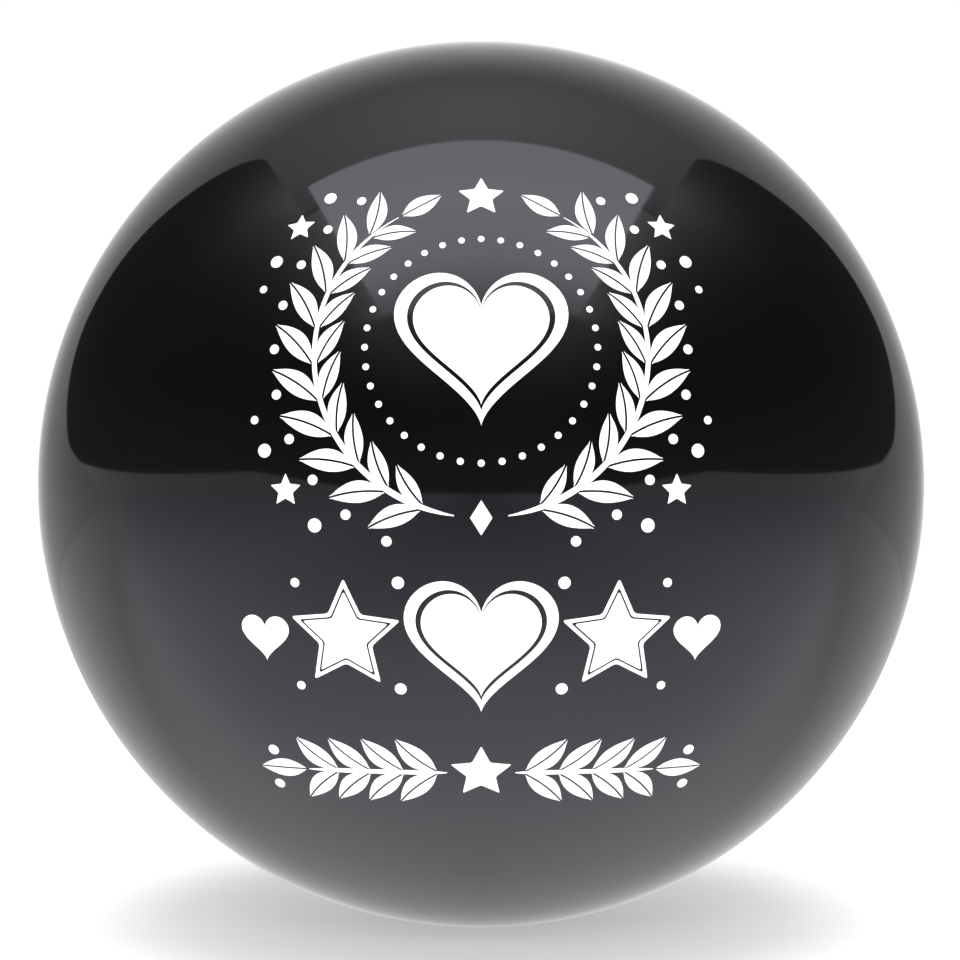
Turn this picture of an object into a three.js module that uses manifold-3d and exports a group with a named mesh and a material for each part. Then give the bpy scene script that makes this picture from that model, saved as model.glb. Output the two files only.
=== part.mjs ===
// A jumbo round latex balloon, blown up, tied at the neck and lying loose on a floor.
// Sizes are in millimetres and +Z is up. The origin is the middle of the small flat spot that
// the balloon rests on. Its printed front faces -Y. The tied neck points back and down, and the
// tail beyond the knot lies on the floor behind the balloon. All of it is one moulded skin, so
// it is one solid.

import * as THREE from 'three';
import { mergeVertices } from 'three/addons/utils/BufferGeometryUtils.js';
import Module from 'manifold-3d';

const wasm = await Module();
wasm.setup();

// The round body
const bodyDiameter = 914;
const contactRadius = 45; // flat spot on the floor

// The neck, which draws in from the body to a waist
const neckBaseDiameter = 250;
const neckLength = 34; // from the round of the body to the waist
const waistDiameter = 14;
const pleatCount = 12;
const pleatDepth = 3;

// The knot, a strand of the twisted neck wound round itself
const knotDiameter = 30;
const knotLength = 24;
const strandDiameter = 13;
const knotTurns = 1.6;
const knotHeight = 30; // from the floor to the middle of the knot

// The tail, flattened and flared towards its rolled lip
const tailLength = 48;
const tailSideways = 8; // how far the tail leans towards +X
const tailCurl = 3; // how far its two edges turn up
const lipWidth = 44;
const lipDiameter = 4; // the rolled bead
const mouthGap = 3; // the slit between the two layers of the mouth
const mouthDepth = 22;
const floorGap = 0.2; // between the lip and the floor

// How finely the round forms are divided
const bodySegments = 72;
const profileDivisions = 14;
const strandSides = 10;
const strandSteps = 24;
const tailSegments = 24;
const tailRings = 9;
const mouthRings = 3;
const beadSides = 8;
const beadSegments = 32;

// Proportions of the free forms, as shares of their own length
const sweepFromBody = 0.62;
const sweepIntoWaist = 0.5;
const deepestPleat = 0.2; // of the neck's radius there
const knotEndShare = 0.16; // of the strand, to leave or join the axis
const stretchOverlap = 0.02;
const flareStart = 0.2; // along the tail
const deepestMouth = 0.6; // along the tail

const mergeDistance = 1e-4;
const latexColour = 0x0b0b0d;
const latexRoughness = 0.16;

// Places that follow from the sizes above
const bodyRadius = bodyDiameter / 2;
const centreHeight = Math.sqrt(bodyRadius ** 2 - contactRadius ** 2);
const waistRadius = waistDiameter / 2;
const waistDistance = bodyRadius + neckLength;
const knotDistance = waistDistance + knotLength / 2;
const neckSlope = Math.asin((centreHeight - knotHeight) / knotDistance);
const neckDirection = new THREE.Vector3(0, Math.cos(neckSlope), -Math.sin(neckSlope));
const bodyCentre = new THREE.Vector3(0, 0, centreHeight);
const up = new THREE.Vector3(0, 0, 1);

// Turns a closed three.js geometry into a solid.
function toSolid(geometry) {
  const bare = geometry.clone();
  bare.deleteAttribute('normal');
  bare.deleteAttribute('uv');
  const merged = mergeVertices(bare, mergeDistance);
  const corners = merged.index.array;
  const triangles = [];
  for (let i = 0; i < corners.length; i += 3) {
    const [a, b, c] = [corners[i], corners[i + 1], corners[i + 2]];
    if (a !== b && b !== c && c !== a) triangles.push(a, b, c);
  }
  return new wasm.Manifold(new wasm.Mesh({
    numProp: 3,
    vertProperties: new Float32Array(merged.attributes.position.array),
    triVerts: new Uint32Array(triangles),
  }));
}

// Turns a solid back into a three.js geometry.
function toGeometry(solid) {
  const mesh = solid.getMesh();
  const geometry = new THREE.BufferGeometry();
  geometry.setAttribute('position', new THREE.BufferAttribute(mesh.vertProperties, 3));
  geometry.setIndex(new THREE.BufferAttribute(mesh.triVerts, 1));
  geometry.computeVertexNormals();
  return geometry;
}

// Moves each vertex of a geometry to the place that move(vertex) gives for it.
function reshape(geometry, move) {
  const position = geometry.attributes.position;
  const vertex = new THREE.Vector3();
  for (let i = 0; i < position.count; i += 1) {
    vertex.fromBufferAttribute(position, i);
    const moved = move(vertex);
    position.setXYZ(i, moved.x, moved.y, moved.z);
  }
  return geometry;
}

// The body and the neck are made about the Y axis, with the neck up, and laid down by this.
function layDown(geometry) {
  return geometry.rotateX(-neckSlope).translate(0, 0, centreHeight);
}

// The round body, and the neck that leaves it in one sweep and ends inside the knot.
function bodyProfile() {
  const baseAngle = Math.asin(neckBaseDiameter / bodyDiameter);
  const baseRadius = bodyRadius * Math.sin(baseAngle);
  const baseDistance = bodyRadius * Math.cos(baseAngle);
  const baseReach = (baseRadius - waistRadius) * sweepFromBody;
  const waistReach = (waistDistance - baseDistance) * sweepIntoWaist;
  const profile = new THREE.Path();
  profile.absarc(0, 0, bodyRadius, -Math.PI / 2, Math.PI / 2 - baseAngle, false);
  profile.bezierCurveTo(
    baseRadius - baseReach * Math.cos(baseAngle),
    baseDistance + baseReach * Math.sin(baseAngle),
    waistRadius,
    waistDistance - waistReach,
    waistRadius,
    waistDistance,
  );
  profile.lineTo(waistRadius, knotDistance);
  profile.lineTo(0, knotDistance);
  return profile.getPoints(profileDivisions);
}

// The pleats grow from nothing at the neck's base to their full depth near the waist. Two slow
// waves round the neck make them uneven.
function pleat(vertex) {
  const radius = Math.hypot(vertex.x, vertex.z);
  const reach = THREE.MathUtils.smoothstep(neckBaseDiameter / 2 - radius, 0, neckBaseDiameter / 2);
  if (vertex.y < 0 || reach === 0 || radius < waistRadius / 2) return vertex;
  const turn = Math.atan2(vertex.x, vertex.z);
  const strength = 1 + 0.3 * Math.cos(2 * turn + 1) + 0.25 * Math.cos(5 * turn + 2);
  const depth = Math.min(pleatDepth * reach * strength, radius * deepestPleat);
  const scale = 1 + (depth / radius) * Math.cos(pleatCount * turn);
  return vertex.set(vertex.x * scale, vertex.y, vertex.z * scale);
}

function makeBody() {
  const geometry = new THREE.LatheGeometry(bodyProfile(), bodySegments);
  return toSolid(layDown(reshape(geometry, pleat)));
}

// The strand comes out of the neck, winds round the axis, and goes back in to leave as the tail.
class KnotCurve extends THREE.Curve {
  getPoint(t, target = new THREE.Vector3()) {
    const windRadius = (knotDiameter - strandDiameter) / 2;
    const out = THREE.MathUtils.smoothstep(t, 0, knotEndShare);
    const back = THREE.MathUtils.smoothstep(1 - t, 0, knotEndShare);
    const radius = windRadius * out * back;
    const turn = 2 * Math.PI * knotTurns * t;
    const height = knotDistance + (t - 0.5) * (knotLength - strandDiameter);
    return target.set(radius * Math.cos(turn), height, radius * Math.sin(turn));
  }
}

// One stretch of a longer curve, so that a strand which touches itself is made in stretches.
class CurveStretch extends THREE.Curve {
  constructor(whole, start, end) {
    super();
    this.whole = whole;
    this.start = start;
    this.end = end;
  }
  getPoint(t, target = new THREE.Vector3()) {
    return this.whole.getPoint(THREE.MathUtils.lerp(this.start, this.end, t), target);
  }
}

function roundSection(radius, sides) {
  const points = [];
  for (let i = 0; i < sides; i += 1) {
    const turn = (2 * Math.PI * i) / sides;
    points.push(new THREE.Vector2(radius * Math.cos(turn), radius * Math.sin(turn)));
  }
  return new THREE.Shape(points);
}

// The windings are pulled tight on each other, so the middle of the knot is filled.
function knotCore() {
  const coreRadius = knotDiameter / 2 - strandDiameter * 0.3;
  const core = new THREE.SphereGeometry(1, strandSides, strandSides / 2);
  core.scale(coreRadius, knotLength / 2, coreRadius).translate(0, knotDistance, 0);
  return toSolid(layDown(core));
}

function makeKnot() {
  const whole = new KnotCurve();
  const section = roundSection(strandDiameter / 2, strandSides);
  const stretches = Math.ceil(knotTurns * 2);
  let knot = null;
  for (let i = 0; i < stretches; i += 1) {
    const start = Math.max(i / stretches - stretchOverlap, 0);
    const end = Math.min((i + 1) / stretches + stretchOverlap, 1);
    const stretch = new THREE.ExtrudeGeometry(section, {
      steps: Math.round(strandSteps / stretches),
      bevelEnabled: false,
      extrudePath: new CurveStretch(whole, start, end),
    });
    const solid = toSolid(layDown(stretch));
    knot = knot ? knot.add(solid) : solid;
  }
  return knot.add(knotCore());
}

// The tail's half width and half thickness where its lip is rolled
const lipHalfWidth = (lipWidth - lipDiameter) / 2;
const lipHalfThickness = (mouthGap + lipDiameter) / 2;

// The middle of the tail runs from inside the knot and bends over to lie along the floor.
function tailCurve() {
  const start = bodyCentre.clone().addScaledVector(neckDirection, knotDistance - knotLength / 4);
  const exit = bodyCentre.clone().addScaledVector(neckDirection, knotDistance + knotLength / 2);
  const lyingHeight = floorGap + lipHalfThickness + lipDiameter / 2;
  const hangingHeight = exit.z - tailLength * Math.sin(neckSlope);
  const endHeight = Math.max(lyingHeight, hangingHeight);
  const run = Math.sqrt(tailLength ** 2 - (exit.z - endHeight) ** 2);
  const end = new THREE.Vector3(tailSideways, exit.y + run, endHeight);
  const before = new THREE.Vector3(tailSideways * 0.6, end.y - tailLength * 0.55, endHeight);
  const after = exit.clone().addScaledVector(neckDirection, tailLength * 0.15);
  return new THREE.CubicBezierCurve3(start, after, before, end);
}

const tailMiddle = tailCurve();

// The place of a point of the tail: across its width, through its thickness, and along it.
function tailPlace(t, across, through, along) {
  const tangent = tailMiddle.getTangent(t);
  const side = new THREE.Vector3().crossVectors(tangent, up).normalize();
  const normal = new THREE.Vector3().crossVectors(side, tangent);
  const curl = tailCurl * t * t * (across / lipHalfWidth) ** 2;
  return tailMiddle.getPoint(t)
    .addScaledVector(side, across)
    .addScaledVector(normal, through + curl)
    .addScaledVector(tangent, along);
}

// A flattened tube that follows the tail from a share of its length to the lip, and runs past it.
function tailTube({ from, past, rings, startWidth, startThickness, endWidth, endThickness }) {
  const tube = new THREE.CylinderGeometry(1, 1, 1, tailSegments, rings);
  return toSolid(reshape(tube, (vertex) => {
    const share = vertex.y + 0.5;
    const flare = THREE.MathUtils.smoothstep(share, flareStart, 1);
    const width = THREE.MathUtils.lerp(startWidth, endWidth, flare);
    const thickness = THREE.MathUtils.lerp(startThickness, endThickness, flare);
    const t = THREE.MathUtils.lerp(from, 1, share);
    return tailPlace(t, vertex.x * width, vertex.z * thickness, past * share);
  }));
}

// The rolled lip is a round bead that follows the flattened rim of the mouth.
function makeLip() {
  const beadRadius = lipDiameter / 2;
  const ringRadius = lipDiameter * 2;
  const section = roundSection(beadRadius, beadSides).getPoints();
  const ringProfile = section.map((point) => new THREE.Vector2(point.x + ringRadius, point.y));
  const ring = new THREE.LatheGeometry([...ringProfile, ringProfile[0]], beadSegments);
  return toSolid(reshape(ring, (vertex) => {
    const turn = Math.atan2(vertex.z, vertex.x);
    const offset = Math.hypot(vertex.x, vertex.z) - ringRadius;
    const rim = new THREE.Vector2(lipHalfWidth * Math.cos(turn), lipHalfThickness * Math.sin(turn));
    const outward = new THREE.Vector2(Math.cos(turn) / lipHalfWidth, Math.sin(turn) / lipHalfThickness);
    rim.addScaledVector(outward.normalize(), offset);
    return tailPlace(1, rim.x, rim.y, vertex.y);
  }));
}

function makeTail() {
  const skin = tailTube({
    from: 0,
    past: 0,
    rings: tailRings,
    startWidth: strandDiameter / 2,
    startThickness: strandDiameter / 2,
    endWidth: lipHalfWidth,
    endThickness: lipHalfThickness,
  });
  const innerHalfWidth = lipHalfWidth - lipDiameter / 2;
  const mouth = tailTube({
    from: 1 - Math.min(mouthDepth / tailLength, deepestMouth),
    past: lipDiameter,
    rings: mouthRings,
    startWidth: innerHalfWidth / 3,
    startThickness: mouthGap / 6,
    endWidth: innerHalfWidth,
    endThickness: mouthGap / 2,
  });
  return skin.add(makeLip()).subtract(mouth);
}

// Everything below the floor is trimmed off, which leaves the flat spot under the body.
function trimAtFloor(solid) {
  const below = new THREE.BoxGeometry(2 * bodyDiameter, 2 * bodyDiameter, bodyRadius);
  return solid.subtract(toSolid(below.translate(0, 0, -bodyRadius / 2)));
}

// Windings that touch can shut in a pinhole, and a sealed balloon is solid, so pinholes are filled.
function fillPinholes(solid) {
  const shells = solid.decompose();
  return wasm.Manifold.compose(shells.filter((shell) => shell.volume() > 0));
}

function makeBalloon() {
  const solid = fillPinholes(trimAtFloor(makeBody().add(makeKnot()).add(makeTail())));
  const latex = new THREE.MeshStandardMaterial({
    color: latexColour,
    roughness: latexRoughness,
    metalness: 0,
  });
  const mesh = new THREE.Mesh(toGeometry(solid), latex);
  mesh.name = 'balloon';
  return mesh;
}

const part = new THREE.Group();
part.add(makeBalloon());

export default part;
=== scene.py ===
import math
from functools import partial

import bpy
import numpy as np
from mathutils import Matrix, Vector
from mathutils.geometry import interpolate_bezier


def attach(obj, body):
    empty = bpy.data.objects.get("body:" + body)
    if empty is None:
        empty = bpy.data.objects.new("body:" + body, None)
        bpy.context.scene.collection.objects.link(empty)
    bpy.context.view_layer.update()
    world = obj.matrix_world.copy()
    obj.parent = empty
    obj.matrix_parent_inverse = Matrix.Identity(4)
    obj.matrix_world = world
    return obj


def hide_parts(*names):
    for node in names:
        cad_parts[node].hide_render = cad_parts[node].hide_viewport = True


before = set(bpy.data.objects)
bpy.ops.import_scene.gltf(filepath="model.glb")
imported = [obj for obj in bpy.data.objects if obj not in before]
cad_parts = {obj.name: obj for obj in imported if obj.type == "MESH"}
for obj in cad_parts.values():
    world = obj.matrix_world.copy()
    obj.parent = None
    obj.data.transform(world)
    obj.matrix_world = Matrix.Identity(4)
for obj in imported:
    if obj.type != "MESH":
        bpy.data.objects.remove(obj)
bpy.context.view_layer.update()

# A jumbo latex balloon that lies loose on the floor. Metres, +Z up, the printed front faces -Y.
# The body, neck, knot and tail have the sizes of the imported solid.

body = {
    "diameter": 0.914,
    "contactRadius": 0.045,    # the patch that flattens on the floor
    "profileVertices": 288,    # round the whole circle
    "stepsAround": 288,
    "floorSoftness": 0.0006,   # how gently the patch rounds off
    "smoothAngle": math.radians(50),
}

neck = {
    "baseDiameter": 0.250,
    "length": 0.034,           # from the round of the body to the waist
    "waistDiameter": 0.014,
    "steps": 44,
    "fromBody": 0.62,          # handles of the sweep, as shares of its reach
    "intoWaist": 0.5,
    "pleats": 12,
    "pleatDepth": 0.003,
    "deepestPleat": 0.2,       # of the radius there
    "uneven": (0.3, 0.25),     # two slow waves in the pleats' depth
    "tightValleys": 0.6,       # share of the wave that has narrow valleys
    "finePleats": 41,
    "finePleatDepth": 0.0007,
    "deepestFine": 0.05,
    "fineStart": 0.6,          # of the base's radius
    "fineRun": 0.5,
    "fineDrift": (1.7, 0.9),
}

knot = {
    "diameter": 0.030,
    "length": 0.024,
    "strandDiameter": 0.013,
    "turns": 1.6,
    "height": 0.030,           # from the floor to the knot's middle
    "endShare": 0.16,          # of the strand, to leave or join the axis
    "steps": 110,
    "sides": 28,
    "ridges": 9,               # wrinkles along the twisted strand
    "ridgeDepth": 0.07,
    "coreInside": 0.3,         # of the strand, from the knot's outside to its core
    "coreSegments": 32,
    "coreRings": 20,
    "smoothing": 5,
    "voxel": 0.00055,
}

tail = {
    "length": 0.048,
    "sideways": 0.008,
    "curl": 0.003,
    "lipWidth": 0.044,
    "lipDiameter": 0.004,
    "mouthGap": 0.003,
    "mouthDepth": 0.022,
    "floorGap": 0.0002,
    "wall": 0.0009,
    "flareStart": 0.2,         # places along the tail are shares of its length
    "thinning": (0.15, 0.8),
    "flatThickness": 0.68,     # of the lip's
    "swellStart": 0.86,
    "insideNarrows": 0.6,
    "insideThins": 0.85,
    "folds": 9,
    "foldDepth": 0.0011,
    "foldFade": (0.3, 0.95),
    "lipWave": 0.0006,
    "lipWaveStart": 0.7,
    "leaveHandle": 0.15,       # handles of its bend
    "lyingHandle": (0.6, 0.55),
    "segments": 112,
    "wallRings": 54,
    "beadRings": 18,
    "innerRings": 24,
}

bodyRadius = body["diameter"] / 2
centreHeight = math.sqrt(bodyRadius ** 2 - body["contactRadius"] ** 2)
bodyCentre = Vector((0, 0, centreHeight))
waistRadius = neck["waistDiameter"] / 2
waistDistance = bodyRadius + neck["length"]
knotDistance = waistDistance + knot["length"] / 2
neckSlope = math.asin((centreHeight - knot["height"]) / knotDistance)
neckDirection = Vector((0, math.cos(neckSlope), -math.sin(neckSlope)))
knotCentre = bodyCentre + neckDirection * knotDistance
floorHeight = 0.0


def deselectAll():
    if bpy.context.object and bpy.context.object.mode == "EDIT":
        bpy.ops.object.mode_set(mode="OBJECT")
    bpy.ops.object.select_all(action="DESELECT")


def useOnly(thing):
    deselectAll()
    thing.select_set(True)
    bpy.context.view_layer.objects.active = thing


def added(name):
    # The object that the last operator added
    thing = bpy.context.object
    thing.name = name
    thing.data.name = name
    return thing


def applyPlace(thing):
    useOnly(thing)
    bpy.ops.object.transform_apply(location=True, rotation=True, scale=True)


def smoothStep(value, low, high):
    share = np.clip((value - low) / (high - low), 0, 1)
    return share * share * (3 - 2 * share)


def readVertices(thing):
    flat = np.empty(len(thing.data.vertices) * 3)
    thing.data.vertices.foreach_get("co", flat)
    return flat.reshape(-1, 3)


def moveVertices(thing, places):
    thing.data.vertices.foreach_set("co", np.asarray(places, dtype=np.float32).ravel())
    thing.data.update()


def editOnly(thing, kind, chosen):
    # Edit mode with only the chosen vertices or faces selected
    useOnly(thing)
    bpy.ops.object.mode_set(mode="EDIT")
    bpy.ops.mesh.select_mode(type=kind)
    bpy.ops.mesh.select_all(action="DESELECT")
    bpy.ops.object.mode_set(mode="OBJECT")
    parts = thing.data.vertices if kind == "VERT" else thing.data.polygons
    parts.foreach_set("select", chosen)
    bpy.ops.object.mode_set(mode="EDIT")


def applyModifier(thing, kind, **values):
    useOnly(thing)
    modifier = thing.modifiers.new(kind.lower(), kind)
    for name, value in values.items():
        setattr(modifier, name, value)
    bpy.ops.object.modifier_apply(modifier=modifier.name)


def unite(thing, other):
    applyModifier(thing, "BOOLEAN", operation="UNION", solver="EXACT", object=other)
    bpy.data.objects.remove(other, do_unlink=True)


def layDown(thing):
    # The body and the knot are made round the Z axis, with the neck up, and are laid down here.
    thing.rotation_euler = (-(math.pi / 2 + neckSlope), 0, 0)
    thing.location = bodyCentre
    applyPlace(thing)


# The skin: half a circle with the neck drawn on at its top, spun round
def makeProfile():
    deselectAll()
    bpy.ops.mesh.primitive_circle_add(
        vertices=body["profileVertices"], radius=bodyRadius, rotation=(math.pi / 2, 0, 0)
    )
    profile = added("balloon_skin")
    applyPlace(profile)
    step = 2 * math.pi / body["profileVertices"]
    baseAngle = round(math.asin(neck["baseDiameter"] / body["diameter"]) / step) * step
    places = readVertices(profile)
    angles = np.arctan2(places[:, 0], places[:, 2])
    unwanted = (angles < baseAngle - step / 2) & (angles > -math.pi + step / 2)
    editOnly(profile, "VERT", unwanted)
    bpy.ops.mesh.delete(type="VERT")
    bpy.ops.object.mode_set(mode="OBJECT")

    base = Vector((bodyRadius * math.sin(baseAngle), 0, bodyRadius * math.cos(baseAngle)))
    waist = Vector((waistRadius, 0, waistDistance))
    alongBase = Vector((-math.cos(baseAngle), 0, math.sin(baseAngle)))
    baseHandle = base + alongBase * (base.x - waistRadius) * neck["fromBody"]
    waistHandle = waist - Vector((0, 0, (waist.z - base.z) * neck["intoWaist"]))
    sweep = interpolate_bezier(base, baseHandle, waistHandle, waist, neck["steps"])
    sweep += [Vector((waistRadius, 0, knotDistance)), Vector((0, 0, knotDistance))]
    heights = readVertices(profile)[:, 2]
    chosen = np.zeros(len(heights), dtype=bool)
    chosen[np.argmax(heights)] = True
    editOnly(profile, "VERT", chosen)
    for here, there in zip(sweep, sweep[1:]):
        bpy.ops.mesh.extrude_region_move(TRANSFORM_OT_translate={"value": there - here})
    bpy.ops.object.mode_set(mode="OBJECT")
    return profile


def pleatNeck(places):
    # The broad pleats of the solid, with tight valleys, and fine ones between them near the waist
    radius = np.hypot(places[:, 0], places[:, 1])
    safeRadius = np.maximum(radius, 1e-6)
    turn = np.arctan2(places[:, 0], -places[:, 1])
    baseRadius = neck["baseDiameter"] / 2
    reach = smoothStep(baseRadius - radius, 0, baseRadius)
    wanted = (places[:, 2] > 0) & (radius > waistRadius / 2)
    slow, quick = neck["uneven"]
    strength = 1 + slow * np.cos(2 * turn + 1) + quick * np.cos(5 * turn + 2)
    depth = np.minimum(neck["pleatDepth"] * reach * strength, radius * neck["deepestPleat"])
    phase = neck["pleats"] * turn
    tight = neck["tightValleys"]
    wave = (1 - tight) * np.cos(phase) + tight * (2 * np.abs(np.cos(phase / 2)) - 1)
    nearWaist = smoothStep(baseRadius * neck["fineStart"] - radius, 0, baseRadius * neck["fineRun"])
    slow, quick = neck["fineDrift"]
    finePhase = neck["finePleats"] * turn + slow * np.sin(3 * turn) + quick * np.sin(7 * turn + 1)
    fine = np.minimum(neck["finePleatDepth"] * nearWaist, radius * neck["deepestFine"])
    change = np.where(wanted, (depth * wave + fine * np.cos(finePhase)) / safeRadius, 0)
    places[:, 0] *= 1 + change
    places[:, 1] *= 1 + change
    return places


def makeSkin():
    skin = makeProfile()
    bpy.ops.object.mode_set(mode="EDIT")
    bpy.ops.mesh.select_all(action="SELECT")
    bpy.ops.mesh.spin(
        steps=body["stepsAround"], angle=2 * math.pi, center=(0, 0, 0), axis=(0, 0, 1)
    )
    bpy.ops.mesh.select_all(action="SELECT")
    bpy.ops.mesh.remove_doubles(threshold=1e-5)
    bpy.ops.mesh.normals_make_consistent(inside=False)
    bpy.ops.object.mode_set(mode="OBJECT")
    moveVertices(skin, pleatNeck(readVertices(skin)))
    layDown(skin)
    places = readVertices(skin)
    height = places[:, 2] - floorHeight
    soft = body["floorSoftness"]
    low = height < body["contactRadius"]
    flattened = (height + np.sqrt(height ** 2 + soft ** 2)) / 2
    places[:, 2] = floorHeight + np.where(low, flattened, height)
    moveVertices(skin, places)
    return skin


# The knot: a strand wound round the axis, fused where its turns press on each other
def makeKnot():
    strandRadius = knot["strandDiameter"] / 2
    windRadius = knot["diameter"] / 2 - strandRadius
    climb = knot["length"] - knot["strandDiameter"]
    deselectAll()
    bpy.ops.mesh.primitive_circle_add(
        vertices=knot["sides"],
        radius=strandRadius,
        location=(windRadius, 0, 0),
        rotation=(math.pi / 2, 0, 0),
    )
    wound = added("knot")
    applyPlace(wound)
    section = readVertices(wound) - np.array((windRadius, 0, 0))
    applyModifier(
        wound,
        "SCREW",
        axis="Z",
        angle=-2 * math.pi * knot["turns"],
        screw_offset=climb,
        steps=knot["steps"],
        render_steps=knot["steps"],
        use_smooth_shade=True,
    )
    count = len(section)
    ring, corner = np.divmod(np.arange(len(wound.data.vertices)), count)
    share = ring / ring.max()
    turn = -2 * math.pi * knot["turns"] * share
    leave = smoothStep(share, 0, knot["endShare"]) * smoothStep(1 - share, 0, knot["endShare"])
    corners = 2 * math.pi * corner / count
    ridge = 1 + knot["ridgeDepth"] * np.abs(np.cos(corners * knot["ridges"] / 2 + 4 * share))
    outward = windRadius * leave + section[corner, 0] * ridge
    places = np.empty((len(turn), 3))
    places[:, 0] = outward * np.cos(turn)
    places[:, 1] = outward * np.sin(turn)
    places[:, 2] = knotDistance + (share - 0.5) * climb + section[corner, 2] * ridge
    moveVertices(wound, places)
    useOnly(wound)
    bpy.ops.object.mode_set(mode="EDIT")
    bpy.ops.mesh.select_all(action="DESELECT")
    bpy.ops.mesh.select_mode(type="EDGE")
    bpy.ops.mesh.select_non_manifold(use_non_contiguous=False, use_multi_face=False, use_verts=False)
    bpy.ops.mesh.fill(use_beauty=True)
    bpy.ops.mesh.select_all(action="SELECT")
    bpy.ops.mesh.normals_make_consistent(inside=False)
    bpy.ops.object.mode_set(mode="OBJECT")

    deselectAll()
    coreRadius = knot["diameter"] / 2 - knot["strandDiameter"] * knot["coreInside"]
    bpy.ops.mesh.primitive_uv_sphere_add(
        segments=knot["coreSegments"], ring_count=knot["coreRings"], radius=1
    )
    core = added("knot_core")
    core.scale = (coreRadius, coreRadius, knot["length"] / 2)
    core.location = (0, 0, knotDistance)
    applyPlace(core)
    core.select_set(True)
    wound.select_set(True)
    bpy.context.view_layer.objects.active = wound
    bpy.ops.object.join()
    applyModifier(wound, "REMESH", mode="VOXEL", voxel_size=knot["voxel"])
    applyModifier(wound, "SMOOTH", factor=0.5, iterations=knot["smoothing"])
    layDown(wound)
    return wound


# The tail: a flattened tube that bends over to lie on the floor, with a rolled lip at its mouth
lipHalfWidth = (tail["lipWidth"] - tail["lipDiameter"]) / 2
lipHalfThickness = (tail["mouthGap"] + tail["lipDiameter"]) / 2


def tailHandles():
    start = bodyCentre + neckDirection * (knotDistance - knot["length"] / 4)
    leave = bodyCentre + neckDirection * (knotDistance + knot["length"] / 2)
    lying = tail["floorGap"] + lipHalfThickness + tail["lipDiameter"] / 2
    endHeight = max(lying, leave.z - tail["length"] * math.sin(neckSlope))
    run = math.sqrt(tail["length"] ** 2 - (leave.z - endHeight) ** 2)
    end = Vector((tail["sideways"], leave.y + run, endHeight))
    sideways, back = tail["lyingHandle"]
    before = Vector((tail["sideways"] * sideways, end.y - tail["length"] * back, endHeight))
    after = leave + neckDirection * tail["length"] * tail["leaveHandle"]
    return [np.array(handle) for handle in (start, after, before, end)]


def tailPlaces(share, across, through, along):
    # Points of the tail: across its width, through its thickness, and along it
    a, b, c, d = tailHandles()
    t = share[:, None]
    rest = 1 - t
    middle = a * rest ** 3 + 3 * b * t * rest ** 2 + 3 * c * t ** 2 * rest + d * t ** 3
    tangent = 3 * (b - a) * rest ** 2 + 6 * (c - b) * t * rest + 3 * (d - c) * t ** 2
    tangent /= np.linalg.norm(tangent, axis=1)[:, None]
    side = np.cross(tangent, (0, 0, 1))
    side /= np.linalg.norm(side, axis=1)[:, None]
    normal = np.cross(side, tangent)
    curl = tail["curl"] * share ** 2 * (across / lipHalfWidth) ** 2
    section = side * across[:, None] + normal * (through + curl)[:, None]
    return middle + section + tangent * along[:, None]


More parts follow.
